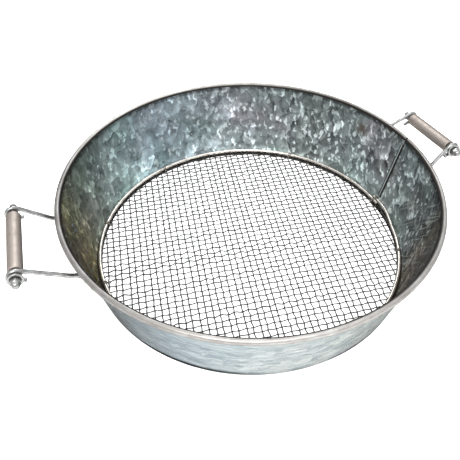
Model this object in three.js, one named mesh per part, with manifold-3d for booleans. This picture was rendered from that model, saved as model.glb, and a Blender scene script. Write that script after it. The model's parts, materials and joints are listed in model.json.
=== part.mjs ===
// Round garden soil sieve: a conical galvanised pan with a rolled rim, a woven wire screen held
// on a bottom ledge by a wire hoop and thin ties, and two spool handles on wire arms.
// Millimetres, +Z up. The origin is the middle of the whole sieve's footprint, in the plane it
// rests on. The handles stand out along -X (left) and +X (right), with their grips along Y, and
// the left one reaches further, so the pan's axis stands a little to the right of the origin.
// The pieces are shaped about the pan's axis, and the finished group is moved there.
import * as THREE from 'three';
import { mergeVertices } from 'three/addons/utils/BufferGeometryUtils.js';
import Module from 'manifold-3d';

const wasm = await Module();
wasm.setup();

// ---- driving dimensions -------------------------------------------------------------------
const SEGMENTS = 72;             // facets round the pan
const PAN_X = 5.76;              // where the pan's axis stands in X
const SHEET = 0.8;               // sheet thickness of the pan
const BASE_R = 151.7;            // outer radius of the pan where it rests
const RIM_R = 177.0;             // outer radius of the rolled rim
const HEIGHT = 79.5;             // from the resting plane to the top of the rim
const BEAD_R = 2.9;              // outer radius of the rolled bead's section
const LEDGE_R = 144.9;           // inner radius of the bottom ledge
const RIM_WIRE_R = 1.7;          // radius of the wire inside the bead

const MESH_PITCH = 6.36;         // wire spacing of the screen
const MESH_WIRE = 1.1;           // wire thickness of the screen
const WARP_ANGLE = -9.3;         // direction of the first wire family, degrees from +X
const WEFT_ANGLE = 77.4;         // direction of the crossing family
const MESH_IN = 147.4;           // inner radius of the screen's pressed edge
const MESH_OUT = 149.6;          // outer radius of the screen's pressed edge
const WARP_Z = 1.1;              // underside of the first family
const WEFT_Z = 2.5;              // underside of the crossing family

const HOOP_R = 146.5;            // radius of the hoop's centre line
const HOOP_WIRE = 3.2;           // wire thickness of the hoop
const HOOP_Z = 5.2;              // height of the hoop's centre line
const HOOP_START = -1.5;         // where the hoop begins, degrees from +X
const HOOP_LAP = 5;              // overlap of its two ends, degrees
const TIE_ANGLES = [47.5, 107, 148, 179.5, 240, 290, -29.5, 1];
const TIE_WIRE = 0.9;
const TIE_HOLE_ANGLE = 182;      // two small wire holes in the wall beside the left tie
const TIE_HOLE_Z = [6.0, 10.5];
const TIE_HOLE_R = 1.1;

const ARM_WIRE = 4.0;            // wire thickness of a handle arm
const ARM_Y = 36.5;              // arms stand at y = +-ARM_Y
const EYE_R = 5.5;               // radius of an eye's centre line
// Centre of each arm's eye. The arms are bent by hand, so the two handles sit a little differently.
const EYES = {
  right: { near: { x: 198.3, z: 85.5 }, far: { x: 203.9, z: 75.0 } },
  left: { near: { x: 215.4, z: 84.8 }, far: { x: 205.6, z: 84.5 } },
};
const ARM_LOW_Z = { right: 70.5, left: 67.8 };   // height at which an arm passes under the rim
const GRIP_R = 6.2;              // outer radius of the grip
const GRIP_BORE = 3.0;           // radius of its bore
const BOLT_R = 2.6;              // radius of the axle bolt
const SEAM_ANGLE = 0.7;          // the lock seam, degrees from +X

// ---- materials ----------------------------------------------------------------------------
function metal(color, roughness) {
  return new THREE.MeshStandardMaterial({ color, roughness, metalness: 1.0 });
}

const galvanised = metal(0x7f8c90, 0.45);
const hoopSteel = metal(0xc9bfb4, 0.35);
const screenSteel = metal(0x8a8a88, 0.4);
const armSteel = metal(0xc4c6c4, 0.3);
const gripSteel = metal(0xb9aea4, 0.42);
const boltSteel = metal(0xd0d2d2, 0.28);
const tieSteel = metal(0x9a928a, 0.45);

// ---- helpers ------------------------------------------------------------------------------
const rad = THREE.MathUtils.degToRad;
const sieve = new THREE.Group();
sieve.name = 'soil_sieve';

function addMesh(name, geometry, material, parent = sieve) {
  const mesh = new THREE.Mesh(geometry, material);
  mesh.name = name;
  parent.add(mesh);
  return mesh;
}

function toSolid(geometry) {
  const plain = geometry.clone();
  plain.deleteAttribute('normal');
  plain.deleteAttribute('uv');
  const merged = mergeVertices(plain, 1e-4);
  const vertProperties = new Float32Array(merged.attributes.position.array);
  const triVerts = new Uint32Array(merged.index.array);
  return new wasm.Manifold(new wasm.Mesh({ numProp: 3, vertProperties, triVerts }));
}

function toGeometry(solid) {
  const mesh = solid.getMesh();
  const geometry = new THREE.BufferGeometry();
  geometry.setAttribute('position', new THREE.BufferAttribute(mesh.vertProperties, 3));
  geometry.setIndex(new THREE.BufferAttribute(mesh.triVerts, 1));
  geometry.computeVertexNormals();
  return geometry;
}

// A profile of [radius, z] points turned about Z; a hollow ring's profile closes on itself.
function turned(points, segments, closed) {
  const profile = points.map(([r, z]) => new THREE.Vector2(r, z));
  if (closed) profile.push(profile[0].clone());
  const geometry = new THREE.LatheGeometry(profile, segments);
  geometry.rotateX(Math.PI / 2);
  const solid = toSolid(geometry);
  if (solid.volume() > 0) return geometry;
  return turned(points.slice().reverse(), segments, closed);
}

// A round wire of one thickness along a path through the given points.
function wire(points, thickness, sides, steps) {
  const curve = new THREE.CatmullRomCurve3(points, false, 'centripetal');
  const section = new THREE.Shape();
  for (let i = 0; i < sides; i += 1) {
    const a = (2 * Math.PI * i) / sides;
    const x = (thickness / 2) * Math.cos(a);
    const y = (thickness / 2) * Math.sin(a);
    if (i === 0) section.moveTo(x, y);
    else section.lineTo(x, y);
  }
  section.closePath();
  return new THREE.ExtrudeGeometry(section, { steps, extrudePath: curve, bevelEnabled: false });
}

// A plain pin along +Z between two heights, used as a cutter or as a shank.
function pin(radius, z0, z1, segments) {
  const points = [[0, z0], [radius, z0], [radius, z1], [0, z1]];
  return turned(points, segments, false);
}

function wallOuter(z) {
  const top = RIM_R - 2 * BEAD_R + SHEET;
  const t = z / (HEIGHT - BEAD_R);
  return BASE_R + (top - BASE_R) * t;
}

function wallSlope() {
  return Math.atan2(wallOuter(HEIGHT - BEAD_R) - BASE_R, HEIGHT - BEAD_R);
}

// Turns a geometry built along +Z so that +Z becomes the wall's outward normal at one place.
function ontoWall(geometry, angle, z) {
  const tilt = wallSlope();
  const matrix = new THREE.Matrix4();
  const normal = new THREE.Vector3(Math.cos(tilt), 0, -Math.sin(tilt));
  const up = new THREE.Vector3(Math.sin(tilt), 0, Math.cos(tilt));
  const side = new THREE.Vector3(0, 1, 0);
  matrix.makeBasis(side, up, normal);
  matrix.setPosition(wallOuter(z), 0, z);
  geometry.applyMatrix4(matrix);
  geometry.applyMatrix4(new THREE.Matrix4().makeRotationZ(angle));
  return geometry;
}

// ---- pan wall -----------------------------------------------------------------------------
const beadX = RIM_R - BEAD_R;
const beadZ = HEIGHT - BEAD_R;

function panProfile() {
  const points = [];
  points.push([LEDGE_R, 0]);
  points.push([BASE_R, 0]);
  const zJoin = beadZ - 4.2;
  points.push([wallOuter(zJoin), zJoin]);
  // The rolled edge stops just short of the wall, below the bead.
  const outerAngles = [-128, -95, -62, -28, 6, 40, 74, 108, 142, 180];
  const innerAngles = [176, 135, 95, 55, 15, -25, -65, -105, -128];
  for (const a of outerAngles) {
    points.push([beadX + BEAD_R * Math.cos(rad(a)), beadZ + BEAD_R * Math.sin(rad(a))]);
  }
  const inside = BEAD_R - SHEET;
  const inner = innerAngles.map((a) => {
    return [beadX + inside * Math.cos(rad(a)), beadZ + inside * Math.sin(rad(a))];
  });
  return { points, inner };
}

// The section is drawn as one strip: up the outer face, round the bead, back down the inner face.
function panSection() {
  const { points, inner } = panProfile();
  const outerFace = points.slice(0, 3);
  const roll = points.slice(3);
  const section = [];
  section.push(...outerFace);
  section.push([beadX - BEAD_R + SHEET, beadZ - 0.6]);
  section.push(...inner);
  section.push(...roll);
  section.push([BASE_R - SHEET, SHEET]);
  section.push([LEDGE_R, SHEET]);
  return section;
}

let pan = toSolid(turned(panSection(), SEGMENTS, true));

// Lock seam: the overlapped sheet stands proud on the inside as a slim strip.
function seamStrip() {
  const length = 64;
  const box = new THREE.BoxGeometry(5.0, length, 1.1);
  return ontoWall(box, 0, 41.0);
}

const seam = seamStrip();
const inward = new THREE.Vector3(-Math.cos(wallSlope()), 0, Math.sin(wallSlope()));
seam.translate(inward.x * 1.15, 0, inward.z * 1.15);
seam.applyMatrix4(new THREE.Matrix4().makeRotationZ(rad(SEAM_ANGLE)));
pan = pan.add(toSolid(seam));

// ---- handle feet and rivets ---------------------------------------------------------------
const FOOT_Z = 52.0;             // middle of the flattened foot on the wall
const FOOT_LENGTH = 17.0;
const FOOT_THICK = 1.6;
const FOOT_HOLES = [46.5, 52.5];
const footAngle = Math.asin(ARM_Y / (wallOuter(FOOT_Z) + 2));
const arms = [
  { side: 'right', end: 'near', angle: -footAngle, y: -ARM_Y, mirror: 1 },
  { side: 'right', end: 'far', angle: footAngle, y: ARM_Y, mirror: 1 },
  { side: 'left', end: 'near', angle: Math.PI + footAngle, y: -ARM_Y, mirror: -1 },
  { side: 'left', end: 'far', angle: Math.PI - footAngle, y: ARM_Y, mirror: -1 },
];

for (const arm of arms) {
  for (const z of FOOT_HOLES) {
    const cutter = ontoWall(pin(1.8, -4, 4, 10), arm.angle, z);
    pan = pan.subtract(toSolid(cutter));
  }
}

// Two small holes low in the left side of the wall, beside the tie there.
for (const z of TIE_HOLE_Z) {
  const cutter = ontoWall(pin(TIE_HOLE_R, -4, 4, 8), rad(TIE_HOLE_ANGLE), z);
  pan = pan.subtract(toSolid(cutter));
}

addMesh('pan_wall', toGeometry(pan), galvanised);

// ---- rim wire -----------------------------------------------------------------------------
const rimSection = [];
for (let i = 0; i < 6; i += 1) {
  const a = rad(60 * i + 30);
  rimSection.push([beadX + RIM_WIRE_R * Math.cos(a), beadZ + RIM_WIRE_R * Math.sin(a)]);
}
addMesh('rim_wire', turned(rimSection, SEGMENTS, true), hoopSteel);

// ---- screen -------------------------------------------------------------------------------
function screenLayer(angle, z0) {
  const z1 = z0 + MESH_WIRE;
  const edge = [[MESH_IN, z0], [MESH_OUT, z0], [MESH_OUT, z1], [MESH_IN, z1]];
  let solid = toSolid(turned(edge, SEGMENTS, true));
  const reach = (MESH_IN + MESH_OUT) / 2 - 0.2;
  const count = Math.floor((MESH_IN - 1.5) / MESH_PITCH);
  const turn = new THREE.Matrix4().makeRotationZ(rad(angle));
  for (let i = -count; i <= count; i += 1) {
    const offset = i * MESH_PITCH;
    const half = Math.sqrt(reach * reach - offset * offset);
    const bar = new THREE.BoxGeometry(2 * half, MESH_WIRE, MESH_WIRE - 0.1);
    bar.translate(0, offset, z0 + MESH_WIRE / 2);
    bar.applyMatrix4(turn);
    solid = solid.add(toSolid(bar));
  }
  return toGeometry(solid);
}

addMesh('screen_warp_wires', screenLayer(WARP_ANGLE, WARP_Z), screenSteel);
addMesh('screen_weft_wires', screenLayer(WEFT_ANGLE, WEFT_Z), screenSteel);

// ---- retaining hoop -----------------------------------------------------------------------
// The last few degrees run outside the beginning, so the two ends lie side by side.
function hoopPoints() {
  const points = [];
  const step = 360 / SEGMENTS;
  const total = Math.round((360 + HOOP_LAP) / step);
  for (let i = 0; i <= total; i += 1) {
    const a = i * step;
    const t = THREE.MathUtils.smoothstep(a, 344, 357.5);
    const r = HOOP_R + t * (HOOP_WIRE + 0.35);
    const w = rad(HOOP_START + a);
    points.push(new THREE.Vector3(r * Math.cos(w), r * Math.sin(w), HOOP_Z));
  }
  return points;
}

const hoopPath = hoopPoints();
addMesh('retaining_ring', wire(hoopPath, HOOP_WIRE, 8, hoopPath.length - 1), hoopSteel);

// ---- binding ties -------------------------------------------------------------------------
// Each tie arches over the hoop; its twisted tail lies on the screen, pointing inward.
function tieGeometry(lap) {
  const over = HOOP_WIRE / 2 + TIE_WIRE / 2 + 0.35;
  const points = [];
  const shift = lap ? HOOP_WIRE + 0.35 : 0;
  if (!lap) points.push(new THREE.Vector3(HOOP_R + over, 0, HOOP_Z - 0.4));
  if (!lap) points.push(new THREE.Vector3(HOOP_R + over * 0.8, 0, HOOP_Z + over * 0.62));
  points.push(new THREE.Vector3(HOOP_R + shift, 0, HOOP_Z + over));
  if (lap) points.push(new THREE.Vector3(HOOP_R, 0, HOOP_Z + over));
  points.push(new THREE.Vector3(HOOP_R - over * 0.8, 0, HOOP_Z + over * 0.62));
  points.push(new THREE.Vector3(HOOP_R - over - 0.2, 0.3, HOOP_Z - 0.5));
  points.push(new THREE.Vector3(HOOP_R - over - 3.0, 1.2, HOOP_Z - 0.8));
  points.push(new THREE.Vector3(HOOP_R - over - 6.0, 2.6, HOOP_Z - 0.4));
  return wire(points, TIE_WIRE, 5, lap ? 14 : 12);
}

TIE_ANGLES.forEach((angle, index) => {
  const lap = index === TIE_ANGLES.length - 1;
  const mesh = addMesh(`ring_tie_${index + 1}`, tieGeometry(lap), tieSteel);
  mesh.rotation.z = rad(angle);
});

// ---- handle arms --------------------------------------------------------------------------
function besideWall(z, y) {
  const r = wallOuter(z) + ARM_WIRE / 2 + 0.35;
  return Math.sqrt(r * r - y * y);
}

// Path of one arm in its own plane: up the wall, out under the rim, round the axle, back as a tail.
function armPoints(y, eye, lowZ) {
  const points = [];
  const put = (x, z) => points.push(new THREE.Vector3(x, y, z));
  put(besideWall(55.5, y), 55.5);
  put(besideWall(58.5, y), 58.5);
  put(besideWall(lowZ - 6.6, y) + 0.3, lowZ - 6.6);
  put(besideWall(lowZ - 3.6, y) + 2.6, lowZ - 2.6);
  const low = { x: 176.0, z: lowZ };
  put(low.x, low.z);
  // The straight stretch meets the eye where it is tangent to it.
  const reach = Math.hypot(eye.x - low.x, eye.z - low.z);
  const heading = Math.atan2(eye.z - low.z, eye.x - low.x);
  const lift = Math.asin(EYE_R / reach);
  const touch = heading + lift + Math.PI / 2;
  const straight = reach * Math.cos(lift);
  for (const part of [0.33, 0.66]) {
    const run = straight * part;
    put(low.x + run * Math.cos(heading + lift), low.z + run * Math.sin(heading + lift));
  }
  const turnEnd = rad(-105);
  const turns = 8;
  for (let i = 0; i <= turns; i += 1) {
    const a = touch + ((turnEnd - touch) * i) / turns;
    put(eye.x + EYE_R * Math.cos(a), eye.z + EYE_R * Math.sin(a));
  }
  put(eye.x - 4.6, eye.z - 6.2);
  put(eye.x - 7.2, eye.z - 6.9);
  return points;
}

function armGeometry(arm) {
  const y = Math.abs(arm.y);
  const eye = EYES[arm.side][arm.end];
  let solid = toSolid(wire(armPoints(y, eye, ARM_LOW_Z[arm.side]), ARM_WIRE, 8, 38));
  const plate = new THREE.BoxGeometry(9.0, FOOT_LENGTH, FOOT_THICK);
  ontoWall(plate, footAngle, FOOT_Z);
  const tilt = wallSlope();
  const out = FOOT_THICK / 2 + 0.35;
  const outX = out * Math.cos(tilt) * Math.cos(footAngle);
  const outY = out * Math.cos(tilt) * Math.sin(footAngle);
  plate.translate(outX, outY, -out * Math.sin(tilt));
  solid = solid.add(toSolid(plate));
  for (const z of FOOT_HOLES) {
    const cutter = ontoWall(pin(1.8, -4, 8, 10), footAngle, z);
    solid = solid.subtract(toSolid(cutter));
  }
  const geometry = toGeometry(solid);
  const place = new THREE.Matrix4();
  // The arm is shaped in the +X, +Y quarter and mirrored to its own quarter.
  place.makeScale(arm.mirror, Math.sign(arm.y), 1);
  geometry.applyMatrix4(place);
  if (place.determinant() < 0) {
    const index = geometry.index.array;
    for (let i = 0; i < index.length; i += 3) {
      const keep = index[i];
      index[i] = index[i + 1];
      index[i + 1] = keep;
    }
    geometry.computeVertexNormals();
  }
  return geometry;
}

// A rivet with a low head on each face of the joint.
function rivetGeometry() {
  const points = [];
  const inner = -SHEET - 0.3;
  const outer = FOOT_THICK + 0.35 + 0.35;
  points.push([0, inner - 1.2]);
  points.push([1.5, inner - 1.0]);
  points.push([2.5, inner]);
  points.push([1.5, inner]);
  points.push([1.5, outer]);
  points.push([2.5, outer]);
  points.push([1.6, outer + 0.8]);
  points.push([0, outer + 1.0]);
  return turned(points, 10, false);
}

for (const arm of arms) {
  addMesh(`${arm.side}_${arm.end}_arm`, armGeometry(arm), armSteel);
  FOOT_HOLES.forEach((z, index) => {
    const level = index === 0 ? 'lower' : 'upper';
    const rivet = ontoWall(rivetGeometry(), arm.angle, z);
    addMesh(`${arm.side}_${arm.end}_rivet_${level}`, rivet, boltSteel);
  });
}

// ---- grips and axles ----------------------------------------------------------------------
const END_PLAY = 1.7;            // the slack beside each eye lets the axle sit a little askew
const GRIP_HALF = ARM_Y - ARM_WIRE / 2 - END_PLAY;

function gripGeometry() {
  const h = GRIP_HALF;
  const points = [
    [GRIP_BORE, -h], [GRIP_R - 0.7, -h], [GRIP_R, -h + 0.9], [GRIP_R, h - 0.9],
    [GRIP_R - 0.7, h], [GRIP_BORE, h],
  ];
  return turned(points, 24, true);
}

// Flanged round head beyond the far arm, shank through both eyes and the grip, end in the cap nut.
function boltGeometry() {
  const head = ARM_Y + ARM_WIRE / 2 + END_PLAY;
  const points = [
    [0, -ARM_Y - 10.0], [1.6, -ARM_Y - 9.9], [BOLT_R, -ARM_Y - 9.0], [BOLT_R, head],
    [4.6, head], [4.6, head + 1.0], [3.1, head + 1.6], [3.1, head + 4.9],
    [2.3, head + 6.3], [0, head + 7.0],
  ];
  return turned(points, 16, false);
}

function washerGeometry() {
  const start = ARM_Y + ARM_WIRE / 2 + END_PLAY;
  const points = [
    [BOLT_R + 0.35, -start - 1.2], [6.6, -start - 1.2], [6.6, -start], [BOLT_R + 0.35, -start],
  ];
  return turned(points, 20, true);
}

function nutGeometry() {
  const start = ARM_Y + ARM_WIRE / 2 + END_PLAY + 1.2 + 0.35;
  const points = [
    [0, -start - 3.2], [4.0, -start - 3.2], [4.5, -start - 2.8],
    [4.5, -start - 0.4], [4.0, -start], [0, -start],
  ];
  const cap = [
    [0, -start - 7.6], [1.7, -start - 7.2], [2.9, -start - 6.2], [3.5, -start - 4.6],
    [3.5, -start - 1.0], [0, -start - 1.0],
  ];
  const body = toSolid(turned(points, 6, false));
  const dome = toSolid(turned(cap, 20, false));
  const bore = toSolid(pin(BOLT_R + 0.35, -start - 5.2, -start + 1, 18));
  return toGeometry(body.add(dome).subtract(bore));
}

for (const side of ['right', 'left']) {
  const { near, far } = EYES[side];
  const sign = side === 'right' ? 1 : -1;
  const axle = new THREE.Group();
  // Local +Z of the axle group runs from the near eye to the far eye, so the nuts are at -Y.
  const along = new THREE.Vector3(sign * (far.x - near.x), 2 * ARM_Y, far.z - near.z).normalize();
  axle.quaternion.setFromUnitVectors(new THREE.Vector3(0, 0, 1), along);
  axle.position.set((sign * (near.x + far.x)) / 2, 0, (near.z + far.z) / 2);
  sieve.add(axle);
  addMesh(`${side}_grip`, gripGeometry(), gripSteel, axle);
  addMesh(`${side}_axle_bolt`, boltGeometry(), boltSteel, axle);
  addMesh(`${side}_axle_washer`, washerGeometry(), boltSteel, axle);
  addMesh(`${side}_axle_nut`, nutGeometry(), boltSteel, axle);
}

sieve.position.set(PAN_X, 0, 0);

export default sieve;
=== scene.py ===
"""Looks of a round garden soil sieve: galvanised pan, woven wire screen, wire hoop, two handles.

Metres, +Z up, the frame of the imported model. The handles stand out along -X and +X.
"""

import json
import math

import bmesh
import bpy
import numpy as np
from mathutils import Matrix, Vector


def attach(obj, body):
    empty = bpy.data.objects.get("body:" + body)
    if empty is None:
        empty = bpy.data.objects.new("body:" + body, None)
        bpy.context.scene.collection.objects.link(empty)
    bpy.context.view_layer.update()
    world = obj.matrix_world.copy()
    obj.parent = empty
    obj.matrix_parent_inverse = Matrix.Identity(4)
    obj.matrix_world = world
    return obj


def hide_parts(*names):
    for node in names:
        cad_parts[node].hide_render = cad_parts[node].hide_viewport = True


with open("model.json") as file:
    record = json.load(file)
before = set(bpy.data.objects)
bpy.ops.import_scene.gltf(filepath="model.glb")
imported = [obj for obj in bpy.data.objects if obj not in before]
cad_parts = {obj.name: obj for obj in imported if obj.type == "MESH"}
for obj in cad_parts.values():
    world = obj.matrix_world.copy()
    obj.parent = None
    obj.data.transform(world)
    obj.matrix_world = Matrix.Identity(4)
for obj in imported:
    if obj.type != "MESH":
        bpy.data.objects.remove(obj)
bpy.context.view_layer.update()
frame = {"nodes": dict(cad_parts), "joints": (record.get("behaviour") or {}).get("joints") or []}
MM = 0.001

# ---- dimensions of the object, millimetres ------------------------------------------------------
PAN_X = 5.76                     # where the pan's axis stands in X
SHEET = 0.8
BASE_R = 151.7
RIM_R = 177.0
HEIGHT = 79.5
BEAD_R = 2.9
LEDGE_R = 144.9
SEAM_ANGLE = 0.7

MESH_PITCH = 6.36
MESH_WIRE = 1.1
MESH_DRAWN_R = MESH_WIRE * 0.55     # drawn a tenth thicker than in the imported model
MESH_CRIMP = 0.74                   # deep enough that crossing wires clear by about 0.3 mm
WARP_ANGLE = -9.3
WEFT_ANGLE = 77.4
SCREEN_R = 148.6
SCREEN_Z = 2.35

HOOP_R = 146.5
HOOP_WIRE = 3.2
HOOP_Z = 5.2
HOOP_START = -1.5
HOOP_LAP = 5.0
HOOP_BESIDE = HOOP_WIRE + 0.35      # how far the lapped end moves out to lie beside the other
TIE_ANGLES = [47.5, 107.0, 148.0, 179.5, 240.0, 290.0, -29.5, 1.0]
TIE_WIRE = 0.9
TIE_HOLE_ANGLE = 182.0
TIE_HOLE_Z = (6.0, 10.5)
TIE_HOLE_R = 1.1

ARM_WIRE = 4.0
ARM_Y = 36.5
EYE_R = 5.5
EYES = {
    "right": {"near": (198.3, 85.5), "far": (203.9, 75.0)},
    "left": {"near": (215.4, 84.8), "far": (205.6, 84.5)},
}
ARM_LOW_Z = {"right": 70.5, "left": 67.8}
FOOT_Z = 52.0
FOOT_HOLES = (46.5, 52.5)
GRIP_R = 6.2
GRIP_BORE = 3.0
BOLT_R = 2.6
BORE_GAP = 0.35                     # washer and nut round the bolt
NUT_FLAT_R = 3.89                   # middle of the cap nut to one flat
NUT_DOME_R = 3.6                    # the dome and the bore are round below this radius
END_PLAY = 1.7

# ---- camera ------------------------------------------------------------------------------------
CAMERA_AT = (-0.1900, -0.4062, 0.4584)
CAMERA_AIM = (0.0331, 0.0388, 0.040)
CAMERA_ROLL = 2.38
CAMERA_LENS = 50.05
CAMERA_SHIFT = (-0.0655, -0.1031)


def smoothstep(x, a, b):
    t = min(max((x - a) / (b - a), 0.0), 1.0)
    return t * t * (3.0 - 2.0 * t)


def wall_outer(z):
    top = RIM_R - 2 * BEAD_R + SHEET
    return BASE_R + (top - BASE_R) * z / (HEIGHT - BEAD_R)


WALL_TILT = math.atan2(wall_outer(HEIGHT - BEAD_R) - BASE_R, HEIGHT - BEAD_R)
FOOT_ANGLE = math.asin(ARM_Y / (wall_outer(FOOT_Z) + 2.0))


# ---- mesh building -----------------------------------------------------------------------------
def make_piece(name, verts, faces, materials, body, uvs=None, smooth=True):
    """A mesh piece that rides on a body. Its millimetres are measured from the pan's axis."""
    mesh = bpy.data.meshes.new(name)
    mesh.from_pydata((np.asarray(verts, dtype=float) * MM).tolist(), [], [list(f) for f in faces])
    if uvs is not None:
        layer = mesh.uv_layers.new(name="UVMap")
        layer.data.foreach_set("uv", np.asarray(uvs, dtype=float).ravel())
    for material in materials:
        mesh.materials.append(material)
    mesh.polygons.foreach_set("use_smooth", [smooth] * len(mesh.polygons))
    mesh.update()
    obj = bpy.data.objects.new(name, mesh)
    obj.location.x = PAN_X * MM
    bpy.context.scene.collection.objects.link(obj)
    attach(obj, body)
    return obj


def tube_mesh(points, radii, sides, start=0):
    """Vertices, faces and corner uvs of a round bar through points, with closed ends."""
    p = np.asarray(points, dtype=float)
    n = len(p)
    radii = np.broadcast_to(np.asarray(radii, dtype=float), (n,))
    tangent = np.gradient(p, axis=0)
    tangent /= np.linalg.norm(tangent, axis=1)[:, None]
    side = np.cross(tangent[0], (0.0, 0.0, 1.0))
    if np.linalg.norm(side) < 0.2:
        side = np.cross(tangent[0], (0.0, 1.0, 0.0))
    angles = np.linspace(0.0, 2 * math.pi, sides, endpoint=False)
    verts = np.empty((n, sides, 3))
    length = np.concatenate([[0.0], np.cumsum(np.linalg.norm(np.diff(p, axis=0), axis=1))])
    for i in range(n):
        side = side - tangent[i] * side.dot(tangent[i])
        side /= np.linalg.norm(side)
        other = np.cross(tangent[i], side)
        ring = np.outer(np.cos(angles), side) + np.outer(np.sin(angles), other)
        verts[i] = p[i] + ring * radii[i]
    faces, uvs = [], []
    for i in range(n - 1):
        for j in range(sides):
            k = (j + 1) % sides
            a, b = start + i * sides, start + (i + 1) * sides
            faces.append((a + j, a + k, b + k, b + j))
            u0, u1 = j / sides, (j + 1) / sides
            v0, v1 = length[i] / 10.0, length[i + 1] / 10.0
            uvs += [(u0, v0), (u1, v0), (u1, v1), (u0, v1)]
    faces.append(tuple(start + j for j in range(sides - 1, -1, -1)))
    uvs += [(0.5, 0.0)] * sides
    last = start + (n - 1) * sides
    faces.append(tuple(last + j for j in range(sides)))
    uvs += [(0.5, length[-1] / 10.0)] * sides
    return verts.reshape(-1, 3), faces, uvs


def tubes_piece(name, paths, sides, material, body):
    """One piece made of several bars; paths holds (points, radii) pairs."""
    verts, faces, uvs = [], [], []
    count = 0
    for points, radii in paths:
        v, f, uv = tube_mesh(points, radii, sides, count)
        verts.append(v)
        faces += f
        uvs += uv
        count += len(v)
    return make_piece(name, np.concatenate(verts), faces, [material], body, uvs)


def smooth_path(points, steps):
    """Catmull-Rom points through the given points, evenly spaced along the path."""
    p = np.asarray(points, dtype=float)
    p = np.vstack([2 * p[0] - p[1], p, 2 * p[-1] - p[-2]])
    out = []
    for i in range(1, len(p) - 2):
        gaps = [max(np.linalg.norm(p[i + k] - p[i + k - 1]), 1e-6) ** 0.5 for k in (0, 1, 2)]
        t0, t1 = 0.0, gaps[0]
        t2, t3 = t1 + gaps[1], t1 + gaps[1] + gaps[2]
        for t in np.linspace(t1, t2, 12, endpoint=False):
            a1 = (p[i - 1] * (t1 - t) + p[i] * (t - t0)) / (t1 - t0)
            a2 = (p[i] * (t2 - t) + p[i + 1] * (t - t1)) / (t2 - t1)
            a3 = (p[i + 1] * (t3 - t) + p[i + 2] * (t - t2)) / (t3 - t2)
            b1 = (a1 * (t2 - t) + a2 * (t - t0)) / (t2 - t0)
            b2 = (a2 * (t3 - t) + a3 * (t - t1)) / (t3 - t1)
            out.append((b1 * (t2 - t) + b2 * (t - t1)) / (t2 - t1))
    out.append(p[-2])
    out = np.asarray(out)
    run = np.concatenate([[0.0], np.cumsum(np.linalg.norm(np.diff(out, axis=0), axis=1))])
    at = np.linspace(0.0, run[-1], steps + 1)
    return np.stack([np.interp(at, run, out[:, k]) for k in range(3)], axis=1)


def turned_mesh(profile, angles, closed, shape=None):
    """A profile of (radius, z) turned about Z. shape may move a point: (index, angle, r, z)."""
    verts, faces, uvs = [], [], []
    m, n = len(profile), len(angles)
    run = np.concatenate([[0.0], np.cumsum([math.dist(profile[i], profile[i - 1])
                                            for i in range(1, m)])])
    for a in angles:
        for i, (r, z) in enumerate(profile):
            if shape:
                r, z = shape(i, a, r, z)
            verts.append((r * math.cos(a), r * math.sin(a), z))
    loops = m if closed else m - 1
    for j in range(n):
        k = (j + 1) % n
        a0, a1 = angles[j], angles[k] + (2 * math.pi if k == 0 else 0.0)
        for i in range(loops):
            h = (i + 1) % m
            v0 = run[i] / 10.0
            v1 = v0 + math.dist(profile[i], profile[h]) / 10.0
            u0, u1 = a0 * 16.0, a1 * 16.0
            corners = {}
            for turn, point, uv in ((j, i, (u0, v0)), (k, i, (u1, v0)), (k, h, (u1, v1)),
                                    (j, h, (u0, v1))):
                on_axis = profile[point][0] == 0.0
                corners.setdefault(point if on_axis else turn * m + point, uv)
            faces.append(tuple(corners))
            uvs += corners.values()
    used = sorted({v for face in faces for v in face})
    number = {v: n for n, v in enumerate(used)}
    faces = [tuple(number[v] for v in face) for face in faces]
    return [verts[v] for v in used], faces, uvs


def even_angles(count):
    return [2 * math.pi * i / count for i in range(count)]


def place(verts, matrix):
    v = np.asarray(verts, dtype=float)
    m = np.asarray(matrix)
    return v @ m[:3, :3].T + m[:3, 3]


def on_wall(angle, z):
    """Matrix that turns +Z into the wall's outward normal at one place (millimetres)."""
    tilt = WALL_TILT
    basis = Matrix(((0.0, math.sin(tilt), math.cos(tilt), wall_outer(z)),
                    (1.0, 0.0, 0.0, 0.0),
                    (0.0, math.cos(tilt), -math.sin(tilt), z),
                    (0.0, 0.0, 0.0, 1.0)))
    return Matrix.Rotation(angle, 4, "Z") @ basis


# ---- node materials ----------------------------------------------------------------------------
RUST_AT = (-0.1592, -0.0196, 0.036)     # a rusty patch low at the left end of the wall
EDGE_TINT = (0.0, 0.0, 0.0, 1.0)      # dull zinc reflects little at a grazing angle


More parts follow.
